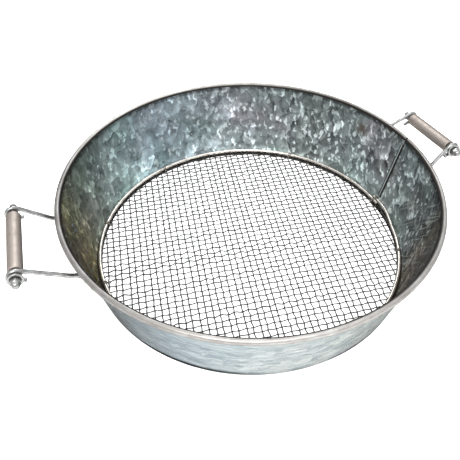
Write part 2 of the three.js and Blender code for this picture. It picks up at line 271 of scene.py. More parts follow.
class Shader:
    """A short way to write node trees: numbers and colours are set, sockets are linked."""

    def __init__(self, name):
        self.material = bpy.data.materials.new(name)
        self.material.use_nodes = True
        self.tree = self.material.node_tree
        self.tree.nodes.clear()

    def node(self, kind, settings=None, inputs=None, out=0):
        made = self.tree.nodes.new("ShaderNode" + kind)
        for key, value in (settings or {}).items():
            setattr(made, key, value)
        for key, value in (inputs or {}).items():
            if isinstance(value, bpy.types.NodeSocket):
                self.tree.links.new(value, made.inputs[key])
            else:
                made.inputs[key].default_value = value
        return made.outputs[out]

    def math(self, operation, a, b=0.0, clamp=False):
        settings = {"operation": operation, "use_clamp": clamp}
        return self.node("Math", settings, {0: a, 1: b})

    def coords(self, which="Object"):
        return self.node("TexCoord", out=which)

    def mapping(self, vector, scale=(1, 1, 1), rotation=(0, 0, 0), location=(0, 0, 0)):
        inputs = {"Vector": vector, "Scale": scale, "Rotation": rotation, "Location": location}
        return self.node("Mapping", None, inputs)

    def noise(self, vector, scale, detail=3.0, roughness=0.5, distortion=0.0, out="Fac"):
        inputs = {"Vector": vector, "Scale": scale, "Detail": detail,
                  "Roughness": roughness, "Distortion": distortion}
        return self.node("TexNoise", None, inputs, out)

    def voronoi(self, vector, scale, feature="F1", out="Color", randomness=1.0):
        inputs = {"Vector": vector, "Scale": scale, "Randomness": randomness}
        return self.node("TexVoronoi", {"feature": feature}, inputs, out)

    def ramp(self, factor, stops, interpolation="LINEAR"):
        made = self.tree.nodes.new("ShaderNodeValToRGB")
        made.color_ramp.interpolation = interpolation
        elements = made.color_ramp.elements
        while len(elements) < len(stops):
            elements.new(1.0)
        for element, (at, color) in zip(elements, stops):
            element.position = at
            element.color = (*color, 1.0) if isinstance(color, tuple) else (color,) * 3 + (1.0,)
        self.tree.links.new(factor, made.inputs[0])
        return made.outputs[0]

    def mix(self, factor, a, b, blend="MIX"):
        settings = {"data_type": "RGBA", "blend_type": blend}
        a = (*a, 1.0) if isinstance(a, tuple) else a
        b = (*b, 1.0) if isinstance(b, tuple) else b
        return self.node("Mix", settings, {0: factor, 6: a, 7: b}, out=2)

    def vector(self, operation, a, b=(0, 0, 0)):
        return self.node("VectorMath", {"operation": operation}, {0: a, 1: b})

    def separate(self, vector):
        made = self.tree.nodes.new("ShaderNodeSeparateXYZ")
        self.tree.links.new(vector, made.inputs[0])
        return made.outputs

    def bump(self, height, strength, distance, normal=None):
        inputs = {"Height": height, "Strength": strength, "Distance": distance}
        if normal is not None:
            inputs["Normal"] = normal
        return self.node("Bump", None, inputs)

    def finish(self, **inputs):
        named = {key.replace("_", " "): value for key, value in inputs.items()}
        if isinstance(named.get("Base Color"), tuple):
            named["Base Color"] = (*named["Base Color"], 1.0)
        if "Metallic" in named:
            named["Specular Tint"] = EDGE_TINT
        surface = self.node("BsdfPrincipled", None, named)
        out = self.tree.nodes.new("ShaderNodeOutputMaterial")
        self.tree.links.new(surface, out.inputs["Surface"])
        return self.material


def spangle(s, place_at, size, stretch):
    """Zinc crystals: per-crystal colour, warped by noise so that their edges are torn."""
    warp = s.noise(place_at, 1.0 / (size * 0.9), 2.5, 0.5, out="Color")
    warp = s.vector("SUBTRACT", warp, (0.5, 0.5, 0.5))
    warp = s.node("VectorMath", {"operation": "SCALE"}, {0: warp, "Scale": size * 1.25})
    moved = s.vector("ADD", place_at, warp)
    moved = s.mapping(moved, scale=(1.0, 1.0, stretch))
    return s.voronoi(moved, 1.0 / size), moved


def tilted_normal(s, crystal, strength):
    """Each crystal leans its own way, so that crystals catch the light differently."""
    lean = s.vector("SUBTRACT", crystal, (0.5, 0.5, 0.5))
    lean = s.node("VectorMath", {"operation": "SCALE"}, {0: lean, "Scale": strength})
    normal = s.node("NewGeometry", out="Normal")
    return s.vector("NORMALIZE", s.vector("ADD", normal, lean))


def azimuth(s, position):
    x, y, z = s.separate(position)
    turn = s.math("ARCTAN2", y, x)
    return s.math("ADD", s.math("DIVIDE", turn, 2 * math.pi), 0.5), z


def painted_edge_light(s, place_at, size, stretch, offset):
    """Painted light and dark edges between crystals, as if lit from one side: the tone a little
    further on, less the tone here.
    """
    here, _ = spangle(s, place_at, size, stretch)
    there, _ = spangle(s, s.vector("ADD", place_at, offset), size, stretch)
    step = s.math("SUBTRACT", s.separate(there)[0], s.separate(here)[0])
    return s.math("ADD", s.math("MULTIPLY", step, 0.8), 0.5), here


def flakes(s, place_at, size, stretch, lean, stops):
    """Painted light and shade on each crystal, from one side to the other, some strongly and some
    hardly at all.
    """
    cell, moved = spangle(s, place_at, size, stretch)
    centre = s.voronoi(moved, 1.0 / size, out="Position")
    reach = s.vector("SUBTRACT", moved, centre)
    slope = s.node("VectorMath", {"operation": "DOT_PRODUCT"}, {0: reach, 1: lean}, 1)
    slope = s.math("ADD", s.math("DIVIDE", slope, size), 0.5)
    tone = s.ramp(slope, stops)
    amount = s.ramp(s.separate(cell)[2], [(0.15, 0.15), (0.75, 1.0)])
    return s.mix(amount, (1.0, 1.0, 1.0), tone), cell


def scratches(s, uv, turns, fineness):
    """Fine straight marks that cross each other at the given angles."""
    lines = []
    for turn in turns:
        lane = s.mapping(uv, rotation=(0, 0, turn), location=(3.0 * turn, 0, 0))
        lane = s.mapping(lane, scale=(0.13, fineness, 1.0))
        lines.append(s.ramp(s.noise(lane, 1.6, 1.0, 0.5), [(0.60, 0.0), (0.66, 1.0)]))
    return s.mix(1.0, lines[0], lines[1], "ADD")


def zinc_inside():
    s = Shader("zinc_inside")
    at = s.coords()
    around, height = azimuth(s, at)
    rise = s.math("DIVIDE", height, HEIGHT * MM)
    # Painted light and shade across each crystal, with painted highlights on the brightest ones.
    large, crystal = flakes(s, at, 0.0145, 0.7, (0.62, -0.55, -0.62), [
        (0.05, 0.45), (0.22, 0.86), (0.50, 1.02), (0.80, 1.12), (0.90, 1.5), (1.0, 2.2)])
    small, shard = flakes(s, at, 0.0058, 0.6, (-0.5, 0.6, -0.66), [
        (0.05, 0.55), (0.20, 0.90), (0.50, 1.0), (0.82, 1.08), (0.92, 1.6), (1.0, 3.2)])
    patch = s.noise(at, 62.0, 3.0, 0.55, 1.4)
    tint = s.ramp(s.noise(at, 13.0, 2.0, 0.5), [
        (0.32, (0.115, 0.145, 0.143)), (0.5, (0.144, 0.165, 0.171)),
        (0.68, (0.167, 0.168, 0.179))])
    color = s.mix(1.0, tint, s.ramp(patch, [
        (0.36, 0.70), (0.46, 0.92), (0.54, 1.08), (0.64, 1.36)]), "MULTIPLY")
    color = s.mix(1.0, color, s.ramp(s.separate(crystal)[1], [
        (0.0, 0.76), (0.5, 0.98), (0.86, 1.12), (1.0, 1.4)]), "MULTIPLY")
    depth = s.ramp(around, [
        (0.0, 0.6), (0.36, 0.5), (0.42, 0.8), (0.46, 1.0), (0.64, 1.0), (0.71, 0.66),
        (0.88, 0.66), (0.94, 0.75), (1.0, 0.6)])
    color = s.mix(depth, color, s.mix(1.0, color, large, "MULTIPLY"))
    color = s.mix(depth, color, s.mix(1.0, color, small, "MULTIPLY"))
    # Partly the metal's own tone, partly painted light and shade round the pan: bright at the
    # back, dark and brown at both near ends. It was set from one viewing side.
    side = s.ramp(around, [
        (0.0, (0.40, 0.26, 0.09)), (0.08, (0.28, 0.20, 0.11)), (0.333, (0.38, 0.31, 0.25)),
        (0.389, (0.88, 0.72, 0.57)), (0.417, (0.78, 0.79, 0.75)), (0.458, (1.18, 1.20, 1.13)),
        (0.50, (1.38, 1.40, 1.32)), (0.569, (1.50, 1.50, 1.45)), (0.62, (1.72, 1.62, 1.58)),
        (0.667, (1.68, 1.66, 1.66)), (0.72, (2.24, 2.16, 2.24)), (0.80, (2.08, 2.34, 2.50)),
        (0.84, (2.22, 2.45, 2.42)), (0.89, (1.38, 1.42, 1.30)), (0.93, (1.14, 1.07, 0.84)),
        (0.967, (1.42, 1.16, 0.66)), (1.0, (0.40, 0.26, 0.09))])
    color = s.mix(1.0, color, side, "MULTIPLY")
    # Darker towards the top; the dark band just under the bead is painted shade where the bead
    # meets the wall.
    upright = s.ramp(rise, [
        (0.10, 1.38), (0.28, 1.04), (0.48, 0.88), (0.65, 0.86), (0.80, 0.80), (0.915, 0.74),
        (0.945, 0.30)])
    color = s.mix(1.0, color, upright, "MULTIPLY")
    # Painted glints: small bright crystals, mostly at the back of the pan and low on the wall.
    glint_side = s.ramp(around, [
        (0.02, 0.0), (0.05, 0.5), (0.08, 0.4), (0.10, 0.0), (0.38, 0.15), (0.45, 0.8),
        (0.62, 0.95),
        (0.75, 0.6), (0.88, 0.35), (0.94, 0.0)])
    low = s.ramp(rise, [(0.2, 1.0), (0.6, 0.8), (0.85, 0.3)])
    tiny, _ = spangle(s, at, 0.0028, 0.6)
    flecks = s.ramp(s.separate(tiny)[2], [(0.90, 0.0), (0.92, 1.0)])
    flecks = s.math("MULTIPLY", flecks, s.math("MULTIPLY", glint_side, low))
    color = s.mix(flecks, color, (0.80, 0.87, 0.88))
    mark = s.node("VectorMath", {"operation": "DISTANCE"}, {0: at, 1: (0.1545, 0.0556, 0.061)}, 1)
    mark = s.math("ADD", mark, s.math("MULTIPLY", patch, 0.008))
    color = s.mix(s.ramp(mark, [(0.008, 0.6), (0.015, 0.0)]), color, (0.090, 0.062, 0.040))
    rust = s.node("VectorMath", {"operation": "DISTANCE"}, {0: at, 1: RUST_AT}, 1)
    rust = s.math("ADD", rust, s.math("MULTIPLY", s.noise(at, 260.0, 2.0, 0.6), 0.02))
    color = s.mix(s.ramp(rust, [(0.012, 0.9), (0.016, 0.0)]), color, (0.42, 0.24, 0.12))
    worn = s.ramp(around, [
        (0.0, 0.8), (0.05, 0.7), (0.10, 0.1), (0.34, 0.1), (0.39, 1.0), (0.45, 0.9), (0.48, 0.0),
        (0.9, 0.0), (0.95, 0.5), (1.0, 0.8)])
    marks = s.math("MULTIPLY", scratches(s, s.coords("UV"), (0.62, -0.9), 3.2), worn)
    color = s.mix(s.math("MULTIPLY", marks, 0.62), color, (0.34, 0.37, 0.34))
    rough = s.ramp(s.separate(shard)[0], [(0.0, 0.36), (1.0, 0.56)])
    normal = s.bump(patch, 0.5, 0.0012, tilted_normal(s, crystal, 0.16))
    return s.finish(Base_Color=color, Metallic=0.75, Roughness=rough, Normal=normal)


def zinc_outside():
    s = Shader("zinc_outside")
    at = s.coords()
    around, height = azimuth(s, at)
    streak = s.noise(s.mapping(s.coords("UV"), scale=(0.30, 3.2, 1.0)), 1.6, 5.0, 0.7, 0.2)
    edges, crystal = painted_edge_light(s, at, 0.011, 2.2, (0.0003, 0.0002, -0.0007))
    tone = s.math("ADD", s.math("MULTIPLY", streak, 0.75),
                  s.math("MULTIPLY", s.separate(crystal)[1], 0.25))
    color = s.ramp(tone, [
        (0.28, (0.145, 0.172, 0.184)), (0.5, (0.213, 0.234, 0.242)),
        (0.70, (0.305, 0.320, 0.324))])
    # Painted highlight and shade along the crystal edges.
    color = s.mix(1.0, color, s.ramp(edges, [
        (0.1, 0.80), (0.42, 1.0), (0.60, 1.0), (0.9, 1.4)]), "MULTIPLY")
    # Painted light and shade round the outer wall: bright at the front, dark at both ends where
    # the wall turns away from the light.
    side = s.ramp(around, [
        (0.06, (0.36, 0.37, 0.37)), (0.083, (0.92, 0.96, 0.98)), (0.125, (1.36, 1.42, 1.46)),
        (0.17, (1.76, 1.76, 1.74)), (0.21, (1.88, 1.82, 1.76)), (0.25, (1.86, 1.82, 1.74)),
        (0.29, (1.38, 1.35, 1.26)), (0.33, (0.50, 0.49, 0.45)), (0.42, (0.9, 0.9, 0.9)),
        (0.85, (0.9, 0.92, 0.92)), (1.0, (0.36, 0.37, 0.37))])
    color = s.mix(1.0, color, side, "MULTIPLY")
    # Darker towards the bottom, except at the front, and more metallic there.
    foot = s.ramp(s.math("DIVIDE", height, HEIGHT * MM), [(0.03, 0.0), (0.06, 0.02), (0.10, 1.0)])
    ends = s.ramp(around, [(0.10, 1.0), (0.16, 0.7), (0.20, 0.1), (0.25, 0.1), (0.28, 0.9),
                           (0.32, 1.0)])
    color = s.mix(ends, color, s.mix(1.0, color, foot, "MULTIPLY"))
    dark_foot = s.math("MULTIPLY", s.math("SUBTRACT", 1.0, foot), ends)
    metal = s.math("ADD", s.math("MULTIPLY", dark_foot, 0.3), 0.7)
    rough = s.ramp(streak, [(0.3, 0.34), (0.7, 0.5)])
    normal = s.bump(streak, 0.4, 0.0006, tilted_normal(s, crystal, 0.12))
    return s.finish(Base_Color=color, Metallic=metal, Roughness=rough, Normal=normal)


def zinc_rim():
    s = Shader("zinc_rim")
    at = s.coords()
    uv = s.coords("UV")
    around, _ = azimuth(s, at)
    cross = s.noise(s.mapping(uv, scale=(0.35, 0.8, 1.0)), 2.0, 6.0, 0.7)
    patch = s.noise(at, 32.0, 3.0, 0.6)
    color = s.ramp(cross, [(0.3, (0.140, 0.130, 0.120)), (0.5, (0.185, 0.176, 0.168)),
                           (0.7, (0.245, 0.240, 0.232))])
    color = s.mix(s.ramp(patch, [(0.45, 0.0), (0.75, 0.4)]), color, (0.10, 0.088, 0.078))
    # Painted light round the rim: brightest at the front and at the back, where the bead catches
    # the light.
    rim_light = s.ramp(around, [(0.0, 1.0), (0.06, 1.05), (0.12, 1.45), (0.25, 1.9), (0.30, 1.5),
                             (0.36, 1.4),
                             (0.44, 1.7), (0.48, 1.1), (0.60, 0.95), (0.70, 1.5), (0.78, 2.1),
                             (0.86, 1.7), (0.92, 0.9), (1.0, 1.0)])
    color = s.mix(1.0, color, rim_light, "MULTIPLY")
    # Painted shade along the inner side of the bead, reaching further round it at the back than at
    # the front.
    x, y, z = s.separate(at)
    radius = s.math("SQRT", s.math("ADD", s.math("MULTIPLY", x, x), s.math("MULTIPLY", y, y)))
    turn = s.math("ARCTAN2", s.math("SUBTRACT", z, (HEIGHT - BEAD_R) * MM),
                  s.math("SUBTRACT", radius, (RIM_R - BEAD_R) * MM))
    start = s.math("ADD", s.math("MULTIPLY", s.math("DIVIDE", y, radius), 0.35), 1.95)
    inward = s.math("SUBTRACT", turn, start)
    under = s.math("ADD", s.math("MULTIPLY", inward, 0.5), 0.5)
    color = s.mix(s.ramp(under, [(0.42, 0.0), (0.62, 0.93)]), color, (0.016, 0.014, 0.012))
    normal = s.bump(cross, 0.3, 0.0003)
    return s.finish(Base_Color=color, Metallic=0.7, Roughness=0.42, Normal=normal)


def plain_steel(name, dark, light, roughness, metallic=0.85, scale=(2.0, 0.5, 1.0), grain=3.0,
                bump=0.2, soil=0.0, painted_light_by_turn=None):
    """Drawn or plated steel: marks along its length, a little soil in patches, painted light if
    asked.
    """
    s = Shader(name)
    uv = s.coords("UV")
    marks = s.noise(s.mapping(uv, scale=scale), grain, 4.0, 0.6)
    patch = s.noise(s.coords(), 90.0, 3.0, 0.6)
    color = s.ramp(marks, [(0.3, dark), (0.7, light)])
    if soil:
        color = s.mix(s.ramp(patch, [(0.5, 0.0), (0.75, soil)]), color, (0.09, 0.07, 0.05))
    if painted_light_by_turn:
        # Painted light: lighter or darker by the turn round the pan.
        around, _ = azimuth(s, s.coords())
        color = s.mix(1.0, color, s.ramp(around, painted_light_by_turn), "MULTIPLY")
    rough = s.ramp(patch, [(0.3, roughness - 0.06), (0.7, roughness + 0.1)])
    normal = s.bump(marks, bump, 0.0002)
    return s.finish(Base_Color=color, Metallic=metallic, Roughness=rough, Normal=normal)


def floor_paper():
    s = Shader("floor_paper")
    grain = s.noise(s.coords(), 300.0, 3.0, 0.6)
    color = s.ramp(grain, [(0.3, (0.93, 0.93, 0.93)), (0.7, (0.96, 0.96, 0.96))])
    return s.finish(Base_Color=color, Roughness=0.95, Emission_Color=(1.0, 1.0, 1.0, 1.0),
                    Emission_Strength=0.5)


# ---- pan ---------------------------------------------------------------------------------------
def pan_profile():
    """Closed section of the sheet: ledge, cone wall, rolled bead. Each point has a face kind."""
    bead_x, bead_z = RIM_R - BEAD_R, HEIGHT - BEAD_R
    points, kinds = [], []

    def put(r, z, kind):
        points.append((r, z))
        kinds.append(kind)

    put(LEDGE_R, 0.0, "base")
    put(BASE_R - 1.2, 0.0, "base")
    put(BASE_R - 0.3, 0.25, "outside")
    join = bead_z - 4.2
    for i in range(9):
        z = 1.2 + (join - 1.2) * i / 8
        put(wall_outer(z), z, "outside")
    put(bead_x - BEAD_R + SHEET, bead_z - 0.6, "outside")
    inside = BEAD_R - SHEET
    for a in range(176, -130, -16):
        r = math.radians(a)
        put(bead_x + inside * math.cos(r), bead_z + inside * math.sin(r), "rim")
    # Faces low on the bead's outer side get a near-black finish: painted shadow under the bead.
    for a in list(range(-128, 180, 14)) + [180]:
        r = math.radians(a)
        kind = "rim" if a > -35 else "bead_shadow"
        put(bead_x + BEAD_R * math.cos(r), bead_z + BEAD_R * math.sin(r), kind)
    top = (bead_x - BEAD_R, bead_z)
    low = (BASE_R - SHEET + 0.2, SHEET + 1.0)
    kinds[-1] = "inside"
    for i in range(1, 10):
        t = i / 9
        put(top[0] + (low[0] - top[0]) * t, top[1] + (low[1] - top[1]) * t, "inside")
    put(BASE_R - SHEET - 0.6, SHEET + 0.15, "ledge")
    put(BASE_R - SHEET - 1.6, SHEET, "ledge")
    put(LEDGE_R, SHEET, "base")
    return points, kinds


BEAD = ("rim", "bead_shadow")


def drill_tie_holes(pan, bright_steel):
    """Two small wire holes low in the left side of the wall, with bright cut edges."""
    profile = [(0.0, -5.0), (TIE_HOLE_R, -5.0), (TIE_HOLE_R, 5.0), (0.0, 5.0)]
    verts, faces, _ = turned_mesh(profile, even_angles(16), False)
    drill = bpy.data.meshes.new("drill")
    all_verts, all_faces = [], []
    for z in TIE_HOLE_Z:
        start = len(all_verts)
        all_verts += (place(verts, on_wall(math.radians(TIE_HOLE_ANGLE), z)) * MM).tolist()
        all_faces += [[start + i for i in face] for face in faces]
    drill.from_pydata(all_verts, [], all_faces)
    drill.materials.append(bright_steel)
    joined = bmesh.new()
    joined.from_mesh(drill)
    bmesh.ops.remove_doubles(joined, verts=joined.verts, dist=1e-7)
    bmesh.ops.dissolve_degenerate(joined, edges=joined.edges, dist=1e-7)
    bmesh.ops.recalc_face_normals(joined, faces=joined.faces)
    joined.to_mesh(drill)
    joined.free()
    tool = bpy.data.objects.new("drill", drill)
    tool.location = pan.location
    bpy.context.scene.collection.objects.link(tool)
    cut = pan.modifiers.new("holes", "BOOLEAN")
    cut.operation, cut.object, cut.solver = "DIFFERENCE", tool, "EXACT"
    cut.material_mode = "TRANSFER"
    bpy.context.view_layer.update()
    shell = bpy.data.meshes.new_from_object(pan.evaluated_get(
        bpy.context.evaluated_depsgraph_get()))
    pan.modifiers.clear()
    pan.data = shell
    bpy.data.objects.remove(tool)


def make_hole_lips(material):
    """The drill left a small bright lip of metal round each hole on the inner side."""
    profile = [(TIE_HOLE_R + 0.05, -SHEET - 0.7), (1.4, -SHEET - 0.75), (1.75, -SHEET - 0.35),
               (2.2, -SHEET + 0.1), (TIE_HOLE_R + 0.05, -SHEET + 0.1)]
    for number, z in enumerate(TIE_HOLE_Z, 1):
        verts, faces, uvs = turned_mesh(profile, even_angles(24), True)
        verts = place(verts, on_wall(math.radians(TIE_HOLE_ANGLE), z))
        make_piece(f"tie_hole_lip_{number}", verts, faces, [material], "pan",
                   uvs)


def make_pan(materials):
    points, kinds = pan_profile()
    rng = np.random.default_rng(4)
    seam = math.radians(SEAM_ANGLE)
    fine = [seam + math.radians(d) for d in (-0.8, -0.42, -0.37, 0.37, 0.42, 0.8)]
    angles = sorted(a for a in even_angles(360) if all(abs(a - f) > 0.004 for f in fine))
    angles = sorted(angles + fine)
    angles = [a for a in angles if a >= 0] + [a for a in angles if a < 0]
    bead_x, bead_z = RIM_R - BEAD_R, HEIGHT - BEAD_R
    waves = [(k, rng.uniform(0, 6.3), rng.uniform(0.02, 0.06)) for k in (3, 5, 8, 13)]

    def shape(i, a, r, z):
        off = sum(h * math.sin(k * a + p) for k, p, h in waves)
        if kinds[i] in BEAD or kinds[i - 1] in BEAD:
            pinch = 0.72 if abs(a - seam) < math.radians(0.39) else 1.0
            r, z = bead_x + (r - bead_x) * pinch, bead_z + (z - bead_z) * pinch
            return r - abs(off), z
        if 8.0 < z < bead_z - 6.0:
            return r + off * 3.0 * math.sin(math.pi * (z - 8.0) / (bead_z - 14.0)), z
        return r, z

    verts, faces, uvs = turned_mesh(points, angles, True, shape)
    looks = [materials[k] for k in ("inside", "outside", "rim", "ledge", "bead_shadow")]
    obj = make_piece("pan_shell", verts, faces, looks, "pan", uvs)
    order = {"inside": 0, "outside": 1, "rim": 2, "ledge": 3, "base": 3, "bead_shadow": 4}
    m = len(points)
    slots = []
    for f in range(len(faces)):
        kind, angle = kinds[f % m], angles[f // m]
        if kind == "rim" and -0.0066 < angle - seam < 0.0062:
            kind = "ledge"
        slots.append(order[kind])
    obj.data.polygons.foreach_set("material_index", slots)
    drill_tie_holes(obj, materials["strip"])
    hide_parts("pan_wall")
    return obj


def make_seam(materials):
    """The lock seam: the folded sheet stands a little proud of the inner wall as a slim strip."""
    section = [(-2.5, -0.6), (-2.45, 0.62), (-0.9, 0.66), (-0.75, 1.1), (-0.5, 1.25),
               (0.5, 1.25), (0.75, 1.1), (0.9, 0.66), (2.25, 0.62), (2.3, -0.6)]
    verts, faces, uvs = [], [], []
    rows = 24
    for i in range(rows + 1):
        z = 7.5 + 65.0 * i / rows
        matrix = on_wall(math.radians(SEAM_ANGLE), z)
        ring = [(x, 0.0, -SHEET - h) for x, h in section]
        verts += place(ring, matrix).tolist()
    m = len(section)
    for i in range(rows):
        for j in range(m):
            k = (j + 1) % m
            faces.append((i * m + j, (i + 1) * m + j, (i + 1) * m + k, i * m + k))
            uvs += [(j, i), (j, i + 1), (j + 1, i + 1), (j + 1, i)]
    faces += [tuple(range(m)), tuple(rows * m + j for j in range(m - 1, -1, -1))]
    uvs += [(0.0, 0.0)] * (2 * m)
    obj = make_piece("lock_seam", verts, faces, [materials["strip"], materials["ledge"]], "pan",
                     uvs, smooth=False)
    slots = [0 if f < rows * m and 3 <= f % m <= 5 else 1 for f in range(len(faces))]
    obj.data.polygons.foreach_set("material_index", slots)


# ---- screen ------------------------------------------------------------------------------------
def make_screen(material):
    rng = np.random.default_rng(11)
    warp, weft = math.radians(WARP_ANGLE), math.radians(WEFT_ANGLE)
    normals = np.array([[-math.sin(warp), math.cos(warp)], [-math.sin(weft), math.cos(weft)]])
    solve = np.linalg.inv(normals)
    count = int(SCREEN_R / MESH_PITCH)
    for family, name in enumerate(("woven_warp", "woven_weft")):
        paths = []
        for i in range(-count, count + 1):
            tau = np.arange(-count - 3, count + 3, 1.0 / 6.0)
            own = i + rng.normal(0.0, 0.035)
            own = own + 0.05 * np.sin(tau * rng.uniform(0.10, 0.2) + rng.uniform(0, 6.3))
            own = own + 0.03 * np.cos(math.pi * tau) * rng.choice((-1, 1))
            pair = (own, tau) if family == 0 else (tau, own)
            xy = (solve @ np.array([pair[0] * MESH_PITCH, pair[1] * MESH_PITCH])).T
            sign = 1.0 if family == 0 else -1.0
            z = SCREEN_Z + sign * MESH_CRIMP * (-1.0) ** i * np.cos(math.pi * tau)
            keep = np.hypot(xy[:, 0], xy[:, 1]) < SCREEN_R - rng.uniform(0.0, 0.8)
            if keep.sum() < 4:
                continue
            line = np.column_stack([xy, z])[keep]
            paths.append((line, MESH_DRAWN_R))
        obj = tubes_piece(name, paths, 6, material, "pan")
        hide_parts("screen_warp_wires" if family == 0 else "screen_weft_wires")


# ---- hoop and ties -----------------------------------------------------------------------------
def make_hoop(material):
    points = []
    for a in np.arange(0.0, 360.0 + HOOP_LAP, 0.5):
        w = math.radians(HOOP_START + a)
        r = HOOP_R + smoothstep(a, 344, 357.5) * HOOP_BESIDE
        points.append((r * math.cos(w), r * math.sin(w), HOOP_Z))
    obj = tubes_piece("hoop", [(points, HOOP_WIRE / 2)], 20, material, "pan")
    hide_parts("retaining_ring")


def make_tie(index, angle, material):
    """Thin wire: twice round the hoop, its two ends twisted together."""
    lap = index == len(TIE_ANGLES) - 1
    over = HOOP_WIRE / 2 + TIE_WIRE / 2 + 0.12
    rng = np.random.default_rng(100 + index)
    paths = []
    for side in (-1.0, 1.0):
        points = []
        for step in range(13):
            a = math.radians(-20.0 + 200.0 * step / 12)
            wide = HOOP_BESIDE if lap else 0.0
            r = HOOP_R + over * math.cos(a) + (wide if math.cos(a) > 0 else 0.0)
            y = side * (0.55 + 0.5 * math.sin(a))
            points.append((r, y, HOOP_Z + over * math.sin(a)))
        turns, tail = 1.5 + rng.uniform(-0.3, 0.3), 1.6 + rng.uniform(0.0, 1.6)
        for step in range(1, 19):
            t = step / 18
            phase = 2 * math.pi * turns * t + (math.pi if side > 0 else 0.0)
            r = HOOP_R - over - 0.2 - tail * t
            y = 0.5 * math.cos(phase) + 1.2 * t
            z = HOOP_Z - 0.55 + 0.5 * math.sin(phase) + 0.2 * t
            points.append((r, y, z))
        paths.append((smooth_path(points, 60), TIE_WIRE / 2))
    turned = []
    spin = np.array(Matrix.Rotation(math.radians(angle), 3, "Z"))
    for points, radius in paths:
        turned.append((points @ spin.T, radius))
    obj = tubes_piece(f"tie_{index + 1}", turned, 8, material, "pan")
    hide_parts(f"ring_tie_{index + 1}")


# ---- handles -----------------------------------------------------------------------------------
def arm_path(side, end):
    """Up the wall, out under the rim, round the axle and back as a tail, in the +X +Y quarter."""
    eye_x, eye_z = EYES[side][end]
    low_z = ARM_LOW_Z[side]

    def beside(z):
        r = wall_outer(z) + ARM_WIRE / 2 + 0.35
        return math.sqrt(r * r - ARM_Y * ARM_Y)

    points = [(beside(55.5), 55.5), (beside(58.5), 58.5), (beside(low_z - 6.6) + 0.3, low_z - 6.6),
              (beside(low_z - 3.6) + 2.6, low_z - 2.6), (176.0, low_z)]
    reach = math.hypot(eye_x - 176.0, eye_z - low_z)
    heading = math.atan2(eye_z - low_z, eye_x - 176.0)
    lift = math.asin(EYE_R / reach)
    straight = reach * math.cos(lift)
    for part in (0.33, 0.66):
        run = straight * part
        points.append((176.0 + run * math.cos(heading + lift),
                       low_z + run * math.sin(heading + lift)))
    touch = heading + lift + math.pi / 2
    last = math.radians(-105)
    for i in range(13):
        a = touch + (last - touch) * i / 12
        points.append((eye_x + EYE_R * math.cos(a), eye_z + EYE_R * math.sin(a)))
    points.append((eye_x - 4.6, eye_z - 6.2))
    points.append((eye_x - 7.2, eye_z - 6.9))
    return [(x, ARM_Y, z) for x, z in points]


def foot_mesh():
    """The hammered-flat foot of an arm: a rounded plate with a soft edge."""
    outline = []
    for a in even_angles(32):
        x = 4.5 * math.copysign(abs(math.cos(a)) ** 0.6, math.cos(a))
        y = 8.5 * math.copysign(abs(math.sin(a)) ** 0.75, math.sin(a))
        outline.append((x, y))
    layers = [(0.86, 0.35), (1.0, 0.7), (1.0, 1.5), (0.86, 1.9)]
    verts = [(x * k, y * (0.5 + k / 2), h) for k, h in layers for x, y in outline]
    n = len(outline)
    faces = []
    for i in range(len(layers) - 1):
        for j in range(n):
            k = (j + 1) % n
            faces.append((i * n + j, i * n + k, (i + 1) * n + k, (i + 1) * n + j))
    faces.append(tuple(range(n - 1, -1, -1)))
    faces.append(tuple(3 * n + j for j in range(n)))
    return verts, faces


def make_arm(side, end, material):
    points = smooth_path(arm_path(side, end), 120)
    mirror = np.array([1.0 if side == "right" else -1.0, 1.0 if end == "far" else -1.0, 1.0])
    verts, faces, uvs = tube_mesh(points, ARM_WIRE / 2 - 0.08, 18)
    foot_verts, foot_faces = foot_mesh()
    foot_verts = place(foot_verts, on_wall(FOOT_ANGLE, FOOT_Z))
    count = len(verts)
    verts = np.vstack([verts, foot_verts]) * mirror
    faces = list(faces) + [tuple(count + i for i in f) for f in foot_faces]
    uvs = list(uvs) + [(0.3, 0.5)] * sum(len(f) for f in foot_faces)
    if mirror[0] * mirror[1] < 0:
        faces = [tuple(reversed(f)) for f in faces]
    obj = make_piece(f"{side}_{end}_wire", verts, faces, [material], "pan", uvs)
    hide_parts(f"{side}_{end}_arm")


def make_rivets(side, end, material):
    angle = FOOT_ANGLE if end == "far" else -FOOT_ANGLE
    if side == "left":
        angle = math.pi - angle
    inner, outer = -SHEET - 0.1, 2.0
    profile = [(0.0, inner - 1.1), (1.0, inner - 1.0), (1.9, inner - 0.7), (2.45, inner),
               (1.6, inner), (1.6, outer), (2.45, outer), (2.2, outer + 0.5),
               (1.3, outer + 0.9), (0.0, outer + 1.05)]
    for z, level in zip(FOOT_HOLES, ("lower", "upper")):
        verts, faces, uvs = turned_mesh(profile, even_angles(24), False)
        obj = make_piece(f"{side}_{end}_{level}_rivet", place(verts, on_wall(angle, z)), faces,
                         [material], "pan", uvs)
        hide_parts(f"{side}_{end}_rivet_{level}")


def axle_matrix(side):
    joint = next(j for j in frame["joints"] if j["name"] == f"{side}_grip_spin")
    axis = Vector(joint["axis"]).normalized()
    turn = Vector((0, 0, 1)).rotation_difference(axis).to_matrix().to_4x4()
    return Matrix.Translation(Vector(joint["pos_m"]) / MM - Vector((PAN_X, 0, 0))) @ turn


